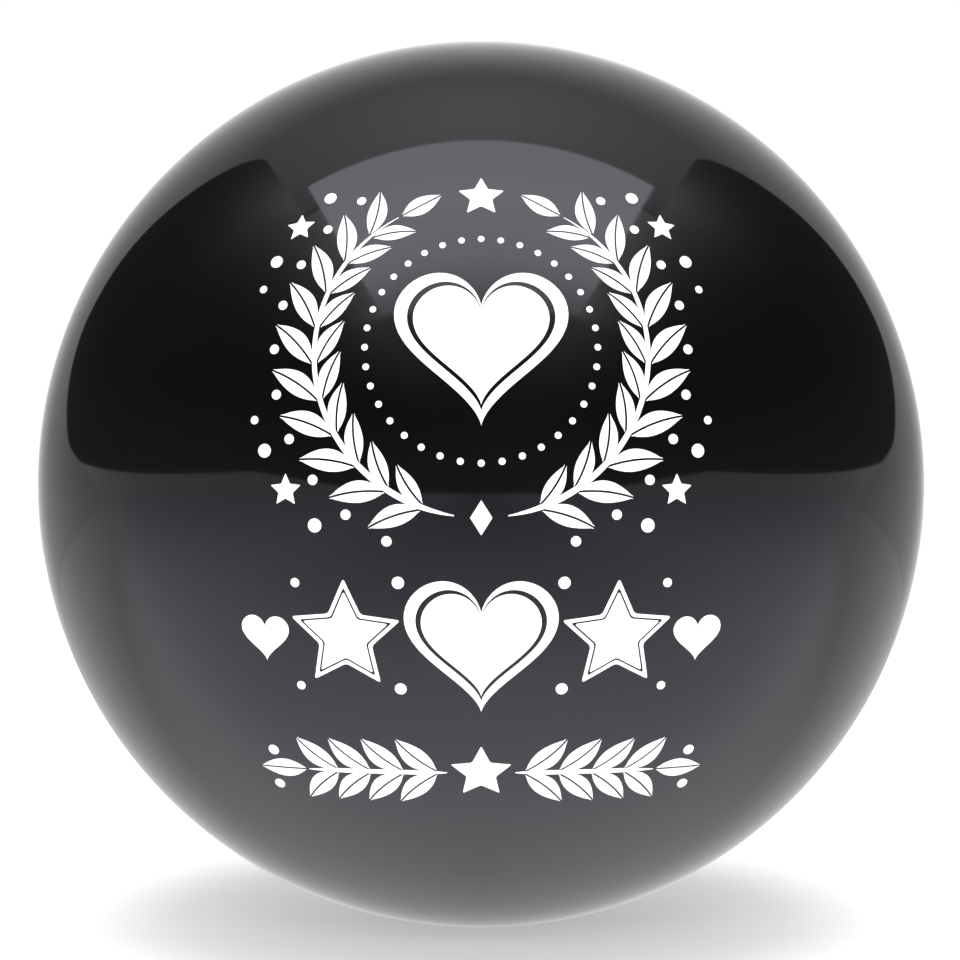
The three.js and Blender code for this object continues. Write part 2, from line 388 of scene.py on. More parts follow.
def makeTail():
    rings = tail["wallRings"] + tail["beadRings"] + tail["innerRings"]
    deselectAll()
    bpy.ops.mesh.primitive_uv_sphere_add(segments=tail["segments"], ring_count=rings, radius=1)
    flap = added("tail")
    sphere = readVertices(flap)
    ring = np.round(np.arccos(np.clip(sphere[:, 2], -1, 1)) / math.pi * rings)
    turn = np.arctan2(sphere[:, 1], sphere[:, 0])
    pole = (ring == 0) | (ring == rings)

    wallEnd = tail["wallRings"]
    beadEnd = wallEnd + tail["beadRings"]
    beadRadius = tail["lipDiameter"] / 2
    halfWall = tail["wall"] / 2
    join = math.asin(halfWall / beadRadius)
    onBead = np.clip((ring - wallEnd) / tail["beadRings"], 0, 1)
    beadTurn = -math.pi / 2 + join + onBead * (2 * math.pi - 2 * join)
    wallShare = np.clip(ring / wallEnd, 0, 1)
    inShare = np.clip((ring - beadEnd) / tail["innerRings"], 0, 1)
    depth = tail["mouthDepth"] / tail["length"]
    share = np.where(ring <= beadEnd, wallShare, 1 - inShare * depth)

    flare = smoothStep(share, tail["flareStart"], 1)
    strandRadius = knot["strandDiameter"] / 2
    inside = ring > beadEnd
    closing = np.where(inside, 1 - tail["insideNarrows"] * inShare ** 3, 1)
    halfWidth = (strandRadius + (lipHalfWidth - strandRadius) * flare) * closing
    swell = smoothStep(share, tail["swellStart"], 1)
    flatThickness = lipHalfThickness * tail["flatThickness"]
    thin = strandRadius + (flatThickness - strandRadius) * smoothStep(share, *tail["thinning"])
    closing = np.where(inside, 1 - tail["insideThins"] * inShare ** 2, 1)
    halfThickness = (thin + (lipHalfThickness - thin) * swell) * closing
    outX = np.cos(turn) / halfWidth
    outY = np.sin(turn) / halfThickness
    length = np.hypot(outX, outY)
    onWall = np.where(ring <= wallEnd, halfWall, -halfWall)
    isBead = (ring > wallEnd) & (ring < beadEnd)
    offset = np.where(isBead, beadRadius * np.cos(beadTurn), onWall)
    beforeBead = -beadRadius * math.cos(join) * smoothStep(share, tail["thinning"][1], 1)
    along = np.where(isBead, beadRadius * np.sin(beadTurn), beforeBead)
    fold = tail["foldDepth"] * (1 - smoothStep(share, *tail["foldFade"]))
    fold = np.where(ring <= wallEnd, fold * np.cos(tail["folds"] * turn + 2 * share), 0)
    wave = tail["lipWave"] * np.sin(3 * turn + 1) * smoothStep(share, tail["lipWaveStart"], 1)
    across = halfWidth * np.cos(turn) + (offset + fold) * outX / length
    through = halfThickness * np.sin(turn) + (offset + fold) * outY / length + wave
    across = np.where(pole, 0, across)
    through = np.where(pole, 0, through)
    moveVertices(flap, tailPlaces(share, across, through, along))
    useOnly(flap)
    bpy.ops.object.mode_set(mode="EDIT")
    bpy.ops.mesh.select_all(action="SELECT")
    bpy.ops.mesh.normals_make_consistent(inside=False)
    bpy.ops.object.mode_set(mode="OBJECT")
    return flap


skin = makeSkin()
print("skin spun:", len(skin.data.polygons), "faces")
unite(skin, makeKnot())
print("knot united:", len(skin.data.polygons), "faces")
unite(skin, makeTail())
print("tail united:", len(skin.data.polygons), "faces")
useOnly(skin)
bpy.ops.object.shade_smooth_by_angle(angle=body["smoothAngle"])


# The print: flat figures, cut into small faces, laid on the ball and given the ink's thickness
ink = {
    "under": -0.00004,         # a little into the skin, so that no gap shows
    "film": 0.00020,
    "cell": 0.008,             # the flat figures are cut this fine before they bend
    "smoothAngle": math.radians(40),
}

wreath = {
    "middle": (0.0, 0.121),
    "radius": 0.149,
    "stemTurn": math.radians(171),       # turns are counted from the top of the ring
    "firstTurn": math.radians(161),
    "tipTurn": math.radians(31),
    "pairs": 10,
    "leafLength": 0.0485,
    "leafWidth": 0.0188,
    "outerSize": 1.06,         # of the leaves on either side of the stem
    "innerSize": 0.88,
    "endSize": 0.88,           # of the leaves at either end, and how much larger in the middle
    "middleMore": 0.14,
    "tipSize": 0.84,
    "lean": math.radians(38),
    "away": 0.0044,            # from the stem's middle to a leaf
    "stem": 0.0050,
    "stemPoints": 90,
    "stemTaper": (9, 6),       # how fast it thickens from its root and from its tip
    "stemNarrows": (1.15, 0.5),
    "berry": 0.0045,
    "berryOut": 0.0378,
    "berryAlong": 0.0219,
    "star": 0.0225,
    "lozengeHeight": 0.030,
    "lozengeWidth": 0.019,
    "heartWidth": 0.154,
    "heartUp": 0.011,
    "beads": 36,
    "beadRing": 0.1025,
    "bead": 0.0030,
}

leafShape = {
    "points": 22,
    "rib": 0.0019,             # the dark line along its middle
    "bend": 0.05,
    "fullness": 0.8,
    "rootWidth": 1.14,
    "narrows": 0.28,           # towards the tip
}

stemShape = {"thinnest": 0.08, "rounding": 0.6}

confetti = {
    "ring": 0.214,             # round the wreath's middle
    "stars": {54: 0.0150, 126: 0.0150},   # turn in degrees, and the star's radius
    "dots": {43: 0.0062, 65: 0.0062, 73: 0.0038, 115: 0.0062, 107: 0.0038, 137: 0.0062},
}

bold = {
    "height": -0.133,
    "drop": 0.11,              # grows with the square of the place, so that the row looks level
    "middleHeart": 0.135,      # width
    "starRadius": 0.0530,
    "endHeart": 0.048,
    "gap": 0.003,
    "dotAway": 0.049,          # above and below the row, between its figures
    "dots": {0.0720: 0.0054, 0.1660: 0.0042},     # place from the middle, and the radius
    "rim": 0.85,               # the rim's inner edge, as a share of the figure
    "core": 0.78,              # the figure inside the rim's black line
}

starShape = {"inner": 0.48, "rounding": 0.07, "cornerSteps": 9}
outlinePoints = {"dot": 48, "heart": 96}

spray = {
    "height": -0.270,
    "drop": 0.28,
    "star": 0.0300,
    "stemStart": 0.032,        # from the middle
    "start": 0.040,            # of the leaves
    "end": 0.168,
    "pairs": 4,
    "leafLength": 0.0490,
    "leafWidth": 0.0212,
    "lean": math.radians(43),
    "away": 0.0034,
    "stem": 0.0050,
    "stemPoints": 60,
    "stemTaper": (7, 5),
    "dots": {0.2040: 0.0056},  # place from the middle, and the dot's radius
}


def addFigure(outline):
    # A filled circle whose rim is moved to the outline's points, across and up
    deselectAll()
    bpy.ops.mesh.primitive_circle_add(
        vertices=len(outline), radius=0.01, fill_type="NGON", rotation=(math.pi / 2, 0, 0)
    )
    figure = added("figure")
    applyPlace(figure)
    moveVertices(figure, [(x, 0, z) for x, z in outline])
    return figure


def placed(outline, place, turn=0.0):
    c, s = math.cos(turn), math.sin(turn)
    return [(place[0] + x * c - z * s, place[1] + x * s + z * c) for x, z in outline]


def roundTurns(count):
    return [2 * math.pi * i / count for i in range(count)]


def dotOutline(radius):
    return [(radius * math.cos(a), radius * math.sin(a)) for a in roundTurns(outlinePoints["dot"])]


def heartOutline(width):
    # The curve that is known as the heart curve, 32 wide
    points = []
    for a in roundTurns(outlinePoints["heart"]):
        across = 16 * math.sin(a) ** 3
        up = 13 * math.cos(a) - 5 * math.cos(2 * a) - 2 * math.cos(3 * a) - math.cos(4 * a)
        points.append((across * width / 32, up * width / 32))
    return points


def starOutline(radius):
    corners = []
    for i, a in enumerate(roundTurns(10)):
        reach = radius * (starShape["inner"] if i % 2 else 1)
        corners.append(Vector((reach * math.sin(a), reach * math.cos(a))))
    outline = []
    rounding = radius * starShape["rounding"]
    for i, corner in enumerate(corners):
        before = (corners[i - 1] - corner).normalized() * rounding
        after = (corners[(i + 1) % len(corners)] - corner).normalized() * rounding
        for share in np.linspace(0, 1, starShape["cornerSteps"]):
            point = corner + before * (1 - share) ** 2 + after * share ** 2
            outline.append((point.x, point.y))
    return outline


def addLeaf(place, turn, length, width, curve=1):
    # Two halves with a fine line between them, from the leaf's root at place
    halves = []
    shares = [i / leafShape["points"] for i in range(leafShape["points"] + 1)]
    rib = leafShape["rib"] / 2
    for side in (1, -1):
        edge, spine = [], []
        for along in shares:
            bow = curve * leafShape["bend"] * length * 4 * along * (1 - along)
            belly = width / 2 * math.sin(math.pi * along) ** leafShape["fullness"]
            belly *= leafShape["rootWidth"] - leafShape["narrows"] * along
            edge.append((along * length, bow + side * max(rib * 1.3, belly)))
            spine.append((along * length, bow + side * rib))
        halves.append(addFigure(placed(edge + spine[::-1], place, turn)))
    return halves


def addBold(outline, place):
    # A figure with a fine line inside its rim
    deselectAll()
    bpy.ops.mesh.primitive_circle_add(vertices=len(outline), radius=0.01, fill_type="NOTHING")
    rim = added("figure")
    bpy.ops.object.mode_set(mode="EDIT")
    bpy.ops.mesh.select_all(action="SELECT")
    bpy.ops.mesh.extrude_edges_move(TRANSFORM_OT_translate={"value": (0, 0, 0.01)})
    bpy.ops.object.mode_set(mode="OBJECT")
    inside = [(x * bold["rim"], z * bold["rim"]) for x, z in outline]
    both = placed(outline, place) + placed(inside, place)
    moveVertices(rim, [(x, 0, z) for x, z in both])
    core = [(x * bold["core"], z * bold["core"]) for x, z in outline]
    return [rim, addFigure(placed(core, place))]


def addStrip(points, halfWidths):
    # A long grid bent along the points, with its own half width at each
    deselectAll()
    bpy.ops.mesh.primitive_grid_add(x_subdivisions=len(points) - 1, y_subdivisions=1, size=2)
    strip = added("strip")
    grid = readVertices(strip)
    index = np.round((grid[:, 0] + 1) / 2 * (len(points) - 1)).astype(int)
    points = np.array(points)
    tangent = np.gradient(points, axis=0)
    tangent /= np.linalg.norm(tangent, axis=1)[:, None]
    out = np.stack([-tangent[:, 1], tangent[:, 0]], axis=1)
    spot = points[index] + out[index] * (grid[:, 1] * np.array(halfWidths)[index])[:, None]
    moveVertices(strip, np.stack([spot[:, 0], np.zeros(len(spot)), spot[:, 1]], axis=1))
    return strip


def taper(shares, rootSpeed, tipSpeed):
    # A stem's width along it, thin at both ends
    width = np.minimum(shares * rootSpeed, (1 - shares) * tipSpeed)
    return np.clip(width, stemShape["thinnest"], 1) ** stemShape["rounding"]


def onRing(side, turn, radius=wreath["radius"]):
    # A point on a ring round the wreath's middle, and the way from there to the ring's top
    across, up = wreath["middle"]
    place = (across + side * radius * math.sin(turn), up + radius * math.cos(turn))
    return place, math.atan2(math.sin(turn), -side * math.cos(turn))


def moved(place, direction, distance):
    return place[0] + distance * math.cos(direction), place[1] + distance * math.sin(direction)


def makeBranch(side):
    # Half of the wreath: it grows from its low end towards the star at the top
    w = wreath
    figures = []
    for i in range(w["pairs"]):
        turn = w["firstTurn"] - (w["firstTurn"] - w["tipTurn"]) * i / w["pairs"]
        root, heading = onRing(side, turn)
        size = w["endSize"] + w["middleMore"] * math.sin(math.pi * (i + 1) / (w["pairs"] + 1))
        for lean in (1, -1):
            part = size * (w["innerSize"] if lean == side else w["outerSize"])
            direction = heading + lean * w["lean"]
            start = moved(root, direction, w["away"])
            length, width = w["leafLength"] * part, w["leafWidth"] * part
            figures += addLeaf(start, direction, length, width, -lean)
        out = heading - side * math.pi / 2
        berry = moved(moved(root, heading, w["berryAlong"]), out, w["berryOut"])
        figures.append(addFigure(placed(dotOutline(w["berry"]), berry)))
    tip, heading = onRing(side, w["tipTurn"])
    tipLength = w["leafLength"] * w["tipSize"]
    figures += addLeaf(moved(tip, heading, w["away"]), heading, tipLength, w["leafWidth"], 0)
    shares = np.linspace(0, 1, w["stemPoints"])
    turns = w["stemTurn"] + shares * (w["tipTurn"] - w["stemTurn"])
    points = [onRing(side, turn)[0] for turn in turns]
    atRoot, narrows = w["stemNarrows"]
    halfWidths = w["stem"] / 2 * taper(shares, *w["stemTaper"]) * (atRoot - narrows * shares)
    figures.append(addStrip(points, halfWidths))
    return figures


def makeWreathMiddle():
    w = wreath
    across, up = w["middle"]
    figures = addBold(heartOutline(w["heartWidth"]), (across, up + w["heartUp"]))
    for turn in roundTurns(w["beads"]):
        bead = onRing(1, turn, w["beadRing"])[0]
        figures.append(addFigure(placed(dotOutline(w["bead"]), bead)))
    figures.append(addFigure(placed(starOutline(w["star"]), onRing(1, 0)[0])))
    wide, high = w["lozengeWidth"] / 2, w["lozengeHeight"] / 2
    lozenge = [(0, high), (-wide, 0), (0, -high), (wide, 0)]
    figures.append(addFigure(placed(lozenge, onRing(1, math.pi)[0])))
    return figures


def makeConfetti(side):
    figures = []
    for shape, sizes in ((starOutline, confetti["stars"]), (dotOutline, confetti["dots"])):
        for degrees, radius in sizes.items():
            place = onRing(side, math.radians(degrees), confetti["ring"])[0]
            figures.append(addFigure(placed(shape(radius), place)))
    return figures


def onRow(row, across):
    return across, row["height"] - row["drop"] * across ** 2


def makeBoldRow():
    b = bold
    starHalf = b["starRadius"] * math.sin(math.radians(72))     # half its width
    starAcross = b["middleHeart"] / 2 + b["gap"] + starHalf
    endAcross = starAcross + starHalf + b["gap"] + b["endHeart"] / 2
    figures = addBold(heartOutline(b["middleHeart"]), onRow(b, 0))
    for side in (1, -1):
        figures += addBold(starOutline(b["starRadius"]), onRow(b, side * starAcross))
        figures.append(addFigure(placed(heartOutline(b["endHeart"]), onRow(b, side * endAcross))))
        for at, radius in b["dots"].items():
            across, height = onRow(b, side * at)
            for away in (b["dotAway"], -b["dotAway"]):
                figures.append(addFigure(placed(dotOutline(radius), (across, height + away))))
    return figures


def makeSpray(side):
    # A leafy stem that grows outward from the star below the bold row
    s = spray
    figures = []
    for at in np.linspace(s["start"], s["end"], s["pairs"] + 1):
        heading = math.atan2(-2 * s["drop"] * at, side)
        leans = (0,) if at == s["end"] else (s["lean"], -s["lean"])
        for lean in leans:
            direction = heading + lean
            start = moved(onRow(s, side * at), direction, s["away"])
            curve = 0 if lean == 0 else -math.copysign(1, lean)
            figures += addLeaf(start, direction, s["leafLength"], s["leafWidth"], curve)
    shares = np.linspace(0, 1, s["stemPoints"])
    points = [onRow(s, side * at) for at in s["stemStart"] + shares * (s["end"] - s["stemStart"])]
    figures.append(addStrip(points, s["stem"] / 2 * taper(shares, *s["stemTaper"])))
    for at, radius in s["dots"].items():
        for away in (s["leafWidth"], -s["leafWidth"]):
            across, height = onRow(s, side * at)
            figures.append(addFigure(placed(dotOutline(radius), (across, height + away))))
    return figures


def cutIntoCells(flat):
    useOnly(flat)
    low, high = readVertices(flat).min(axis=0), readVertices(flat).max(axis=0)
    bpy.ops.object.mode_set(mode="EDIT")
    bpy.ops.mesh.select_mode(type="FACE")
    bpy.ops.mesh.select_all(action="SELECT")
    bpy.ops.mesh.remove_doubles(threshold=1e-6)
    bpy.ops.mesh.quads_convert_to_tris(ngon_method="BEAUTY")
    for axis, normal in ((0, (1, 0, 0)), (2, (0, 0, 1))):
        for at in np.arange(low[axis] + ink["cell"] / 2, high[axis], ink["cell"]):
            bpy.ops.mesh.select_all(action="SELECT")
            cut = [0.0, 0.0, 0.0]
            cut[axis] = float(at)
            bpy.ops.mesh.bisect(plane_co=cut, plane_no=normal)
    bpy.ops.object.mode_set(mode="OBJECT")


def wrapOnBall(flat):
    # The flat print keeps its distances from the middle of the front.
    places = readVertices(flat)
    away = np.hypot(places[:, 0], places[:, 2])
    turn = away / bodyRadius
    safe = np.maximum(away, 1e-9)
    radius = bodyRadius + ink["under"]
    ball = np.empty_like(places)
    ball[:, 0] = radius * np.sin(turn) * places[:, 0] / safe
    ball[:, 1] = -radius * np.cos(turn)
    ball[:, 2] = centreHeight + radius * np.sin(turn) * places[:, 2] / safe
    moveVertices(flat, ball)


def faceOutward(film):
    facing = np.empty(len(film.data.polygons) * 3)
    film.data.polygons.foreach_get("normal", facing)
    editOnly(film, "FACE", facing.reshape(-1, 3)[:, 1] > 0)
    bpy.ops.mesh.flip_normals()
    bpy.ops.object.mode_set(mode="OBJECT")


def makePrint():
    figures = makeWreathMiddle() + makeBoldRow()
    figures.append(addFigure(placed(starOutline(spray["star"]), onRow(spray, 0))))
    for side in (1, -1):
        figures += makeBranch(side) + makeConfetti(side) + makeSpray(side)
    deselectAll()
    for figure in figures:
        figure.select_set(True)
    bpy.context.view_layer.objects.active = figures[0]
    bpy.ops.object.join()
    film = added("white_print")
    cutIntoCells(film)
    wrapOnBall(film)
    faceOutward(film)
    print("print laid on the ball:", len(film.data.polygons), "faces")
    applyModifier(film, "SOLIDIFY", thickness=ink["film"], offset=1, use_even_offset=False)
    useOnly(film)
    bpy.ops.object.shade_smooth_by_angle(angle=ink["smoothAngle"])
    return film


whitePrint = makePrint()
print("print given its thickness:", len(whitePrint.data.polygons), "faces")


# Finishes
latexFinish = {
    "dark": (0.0014, 0.0014, 0.0017, 1),
    "light": (0.0026, 0.0026, 0.0031, 1),
    "roughness": (0.045, 0.065),
    "neckRoughness": 0.26,
    "neckReach": (0.035, 0.110),     # from the knot, in metres
    "cloudScale": 6.0,
    "grainScale": 90.0,
    "grainDepth": 0.0006,
    "ior": 1.5,
}

inkFinish = {
    "shade": (0.86, 0.86, 0.85, 1),
    "bright": (0.93, 0.93, 0.925, 1),
    "roughness": (0.26, 0.38),
    "mottling": (0.7, 1.2),
    "cloudScale": 14.0,
    "speckleScale": 420.0,
    "speckleDepth": 0.00003,
}


def newMaterial(name):
    material = bpy.data.materials.new(name)
    material.use_nodes = True
    nodes = material.node_tree.nodes
    return material, nodes, material.node_tree.links, nodes["Principled BSDF"]


def noiseNode(nodes, links, source, scale, detail):
    node = nodes.new("ShaderNodeTexNoise")
    node.inputs["Scale"].default_value = scale
    node.inputs["Detail"].default_value = detail
    node.inputs["Roughness"].default_value = 0.5
    links.new(source, node.inputs["Vector"])
    return node.outputs["Fac"]


def rangeNode(nodes, links, source, fromLow, fromHigh, toLow, toHigh):
    node = nodes.new("ShaderNodeMapRange")
    node.inputs["From Min"].default_value = fromLow
    node.inputs["From Max"].default_value = fromHigh
    node.inputs["To Min"].default_value = toLow
    node.inputs["To Max"].default_value = toHigh
    links.new(source, node.inputs["Value"])
    return node.outputs["Result"]


def mathNode(nodes, links, operation, first, second):
    node = nodes.new("ShaderNodeMath")
    node.operation = operation
    for socket, value in zip(node.inputs, (first, second)):
        if isinstance(value, (int, float)):
            socket.default_value = value
        else:
            links.new(value, socket)
    return node.outputs["Value"]


def mixColours(nodes, links, share, first, second):
    node = nodes.new("ShaderNodeMix")
    node.data_type = "RGBA"
    node.inputs[6].default_value = first       # the colour sockets A and B
    node.inputs[7].default_value = second
    links.new(share, node.inputs["Factor"])
    return node.outputs[2]


def bumpNode(nodes, links, height, distance):
    node = nodes.new("ShaderNodeBump")
    node.inputs["Strength"].default_value = 1
    node.inputs["Distance"].default_value = distance
    links.new(height, node.inputs["Height"])
    return node.outputs["Normal"]


def latexMaterial():
    material, nodes, links, shader = newMaterial("black_latex")
    place = nodes.new("ShaderNodeTexCoord").outputs["Object"]
    toKnot = nodes.new("ShaderNodeVectorMath")
    toKnot.operation = "DISTANCE"
    toKnot.inputs[1].default_value = knotCentre
    links.new(place, toKnot.inputs[0])
    near, far = latexFinish["neckReach"]
    atNeck = rangeNode(nodes, links, toKnot.outputs["Value"], near, far, 1, 0)
    cloudy = noiseNode(nodes, links, place, latexFinish["cloudScale"], detail=3.0)
    fine = noiseNode(nodes, links, place, latexFinish["grainScale"], detail=4.0)
    colour = mixColours(nodes, links, cloudy, latexFinish["dark"], latexFinish["light"])
    links.new(colour, shader.inputs["Base Color"])
    rough = rangeNode(nodes, links, cloudy, 0.3, 0.7, *latexFinish["roughness"])
    duller = mathNode(nodes, links, "MULTIPLY", atNeck, latexFinish["neckRoughness"])
    links.new(mathNode(nodes, links, "ADD", rough, duller), shader.inputs["Roughness"])
    grain = mathNode(nodes, links, "MULTIPLY", fine, atNeck)
    links.new(bumpNode(nodes, links, grain, latexFinish["grainDepth"]), shader.inputs["Normal"])
    shader.inputs["IOR"].default_value = latexFinish["ior"]
    return material


def inkMaterial():
    material, nodes, links, shader = newMaterial("white_ink")
    place = nodes.new("ShaderNodeTexCoord").outputs["Object"]
    cloudy = noiseNode(nodes, links, place, inkFinish["cloudScale"], detail=4.0)
    speckle = noiseNode(nodes, links, place, inkFinish["speckleScale"], detail=2.0)
    mottled = mathNode(nodes, links, "ADD", cloudy, speckle)
    tone = rangeNode(nodes, links, mottled, *inkFinish["mottling"], 0, 1)
    colour = mixColours(nodes, links, tone, inkFinish["shade"], inkFinish["bright"])
    links.new(colour, shader.inputs["Base Color"])
    rough = rangeNode(nodes, links, cloudy, 0.3, 0.7, *inkFinish["roughness"])
    links.new(rough, shader.inputs["Roughness"])
    links.new(bumpNode(nodes, links, speckle, inkFinish["speckleDepth"]), shader.inputs["Normal"])
    return material


skin.data.materials.clear()
skin.data.materials.append(latexMaterial())
whitePrint.data.materials.clear()
whitePrint.data.materials.append(inkMaterial())

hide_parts("balloon")
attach(skin, "root")
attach(whitePrint, "root")
print("finishes and bodies set")


# The stage: a pale floor, and a soft studio that the glossy skin mirrors. The panels don't show.
# Four numbers together are two places and the value at each, except in a tint or a colour.
softbox = {
    "grid": (24, 12),
    "height": 2.70,
    "halfWidth": 1.31,
    "back": (-0.19, 0.03),     # in the middle, and how much further back at the corners
    "front": (-2.74, 0.20),
    "glow": 2.95,
    "backFade": (-0.15, -1.0, 0.74, 1.0),
    "frontFade": (-2.75, -1.5, 0.45, 1.0),
    "tint": (0.97, 0.96, 1.07, 1),
}

sweepSheet = {
    "grid": (24, 160),
    "roofHeight": 2.72,
    "backDistance": 1.95,
    "bend": 1.20,              # radius of the curve from the roof down to the back
    "front": -0.56,
    "halfWidth": 1.50,
    "backWider": 0.60,
    "widerFrom": 0.7,          # this far behind the ball
    "footWider": 1.0,
    "footHeight": 1.35,
    "footRun": 0.6,
    "hemWider": 1.2,           # the foot spreads quickly at the height of the horizon
    "hem": (0.62, 0.76),
    "even": (2.7, 2.35, 0.38, 0.47),     # glow of the roof and of the back, by height
    "nearBox": (1.0, 0.0, 0.0, 0.55),
    "nearBoxSides": (0.2, 1.5, 1.0, 0.35),
    "back": (2.7, 1.6, 0.0, 0.60),
    "backSides": (0.0, 1.8, 1.0, 0.0),
    "foot": (0.75, 0.0, 0.0, 0.14),
    "frontFade": (-0.56, -0.44, 0.60, 1.0),
    "tint": (0.99, 0.985, 1.02, 1),
}

floor = {
    "vertices": 128,
    "radius": 12.0,
    "colour": (0.80, 0.80, 0.80, 1),
    "roughness": 0.8,
    # The floor's painted glow: dim near where the ball rests, brighter further out
    "emission": (0.3, 1.6, 0.42, 1.02),  # by the distance from where the ball rests
}

# Painted light that the skin mirrors in place of the floor: a bright pool before the ball, an even glow
# behind it, and a painted shadow where the ball rests. Only glossy rays see it.
floorGlow = {
    "front": {"far": 0.60, "more": 1.02, "reach": 1.7, "stretch": 2.25},
    "behind": {"far": 0.62, "more": 0.26, "reach": 1.5, "stretch": 0.12},
    "near": (0.55, 0.0, 0.0, 0.24),      # a brighter patch at the ball's foot
    "nearDepth": (-1.0, -0.42, 0.0, 1.0),
    "dip": (1.6, 0.2, 0.0, 0.20),        # a darker band further before it
    "dipDepth": (-0.6, -1.1, 0.0, 1.0),
    "slant": 0.18,                       # of the line between the front and what is behind
    "change": (0.13, 0.39, 0.0, 1.0),
    # painted shadow in the mirrored glow, by the distance from where the ball rests
    "mirroredContactShadow": (0.0, 0.20, 0.75, 1.0),
    "tint": (0.97, 0.945, 1.085, 1),
    "farTint": (1, 0.995, 1.012, 1),
    "tintChange": (0.25, 0.50, 0.2, 1.0),
}

# What it mirrors round the panels, by the direction: x and y across, z up
room = {
    "frontHorizon": (-0.05, 0.139),      # in the middle, and its rise with the square of x
    "sideHorizon": (0.031, 0.055),       # it gets no higher, with the square of y
    "softness": 0.002,
    "darkGlow": 0.033,
    "haloShift": 0.35,                   # the skin mirrors from this far before its middle
    "lowestRay": 0.05,
    "haloFade": -2.0,                    # how fast the haze sinks beside the box
    "haloBack": 1.44,                    # and behind and before it, against that
    "haloFront": 0.385,
    "frontEdge": 0.09,
    "frontStep": (0.0, 0.15, 0.0, 0.35),
    "haze": (0.3, 0.04, 0.0, 1.0),
    "hazeDepth": (0.0, 0.6, 0.066, 0.022),
    "pale": (0.25, 0.60, 0.60, 0.62),
}


def smoothRange(nodes, links, source, fromLow, fromHigh, toLow, toHigh):
    result = rangeNode(nodes, links, source, fromLow, fromHigh, toLow, toHigh)
    result.node.interpolation_type = "SMOOTHSTEP"
    return result


def splitPlace(nodes, links, output):
    place = nodes.new("ShaderNodeTexCoord").outputs[output]
    split = nodes.new("ShaderNodeSeparateXYZ")
    links.new(place, split.inputs["Vector"])
    return split.outputs["X"], split.outputs["Y"], split.outputs["Z"]


def glowMaterial(name, tint):
    material = bpy.data.materials.new(name)
    material.use_nodes = True
    nodes, links = material.node_tree.nodes, material.node_tree.links
    nodes.clear()
    output = nodes.new("ShaderNodeOutputMaterial")
    glow = nodes.new("ShaderNodeEmission")
    glow.inputs["Color"].default_value = tint
    links.new(glow.outputs["Emission"], output.inputs["Surface"])
    return material, nodes, links, glow.inputs["Strength"]


def addPanel(name, across, along):
    deselectAll()
    bpy.ops.mesh.primitive_grid_add(x_subdivisions=across, y_subdivisions=along, size=2)
    panel = added(name)
    panel.visible_camera = False
    panel.visible_shadow = False
    return panel


def makeSoftbox():
    s = softbox
    box = addPanel("softbox", *s["grid"])
    grid = readVertices(box)
    u, v = grid[:, 0], (1 - grid[:, 1]) / 2
    back = s["back"][0] + s["back"][1] * u ** 2
    front = s["front"][0] + s["front"][1] * u ** 2
    along = back + v * (front - back)
    moveVertices(box, np.stack([u * s["halfWidth"], along, np.full(len(u), s["height"])], axis=1))
    material, nodes, links, strength = glowMaterial("softbox_glow", s["tint"])
    y = splitPlace(nodes, links, "Object")[1]
    rise = smoothRange(nodes, links, y, *s["backFade"])
    fall = smoothRange(nodes, links, y, *s["frontFade"])
    both = mathNode(nodes, links, "MULTIPLY", rise, fall)
    links.new(mathNode(nodes, links, "MULTIPLY", both, s["glow"]), strength)
    box.data.materials.append(material)


def makeSweep():
    # A sheet that hangs from the roof down behind the ball, wider at its foot
    s = sweepSheet
    sweep = addPanel("sweep", *s["grid"])
    grid = readVertices(sweep)
    u, v = grid[:, 0], (1 - grid[:, 1]) / 2
    roofLength = s["backDistance"] - s["bend"] - s["front"]
    bendLength = s["bend"] * math.pi / 2
    wallLength = s["roofHeight"] - s["bend"]
    run = (1 - v) * (roofLength + bendLength + wallLength)
    bendTurn = np.clip((run - roofLength) / s["bend"], 0, math.pi / 2)
    y = s["front"] + np.minimum(run, roofLength) + s["bend"] * np.sin(bendTurn)
    down = np.maximum(run - roofLength - bendLength, 0)
    z = s["roofHeight"] - s["bend"] * (1 - np.cos(bendTurn)) - down
    wider = s["backWider"] * smoothStep(y, s["widerFrom"], s["backDistance"])
    wider += s["footWider"] * (np.maximum(s["footHeight"] - z, 0) / s["footRun"]) ** 2
    wider += s["hemWider"] * (1 - smoothStep(z, *s["hem"]))
    moveVertices(sweep, np.stack([u * (s["halfWidth"] + wider), y, z], axis=1))

    material, nodes, links, strength = glowMaterial("sweep_glow", s["tint"])
    maths = partial(mathNode, nodes, links)
    x, y, z = splitPlace(nodes, links, "Object")
    across = maths("ABSOLUTE", x, 0.0)
    nearBox = rangeNode(nodes, links, y, *s["nearBox"])
    nearBoxSides = rangeNode(nodes, links, across, *s["nearBoxSides"])
    back = rangeNode(nodes, links, z, *s["back"])
    backSides = rangeNode(nodes, links, across, *s["backSides"])
    total = maths("ADD", maths("MULTIPLY", nearBox, nearBoxSides), maths("MULTIPLY", back, backSides))
    total = maths("ADD", total, rangeNode(nodes, links, z, *s["even"]))
    total = maths("ADD", total, smoothRange(nodes, links, z, *s["foot"]))
    links.new(maths("MULTIPLY", total, smoothRange(nodes, links, y, *s["frontFade"])), strength)
    sweep.data.materials.append(material)


def poolOfLight(maths, squares, glow):
    # Sinks from the middle to the far value, by the square of the distance
    share = maths("ADD", maths("MULTIPLY", squares, 1 / glow["reach"] ** 2), 1.0)
    return maths("ADD", maths("DIVIDE", glow["more"], share), glow["far"])


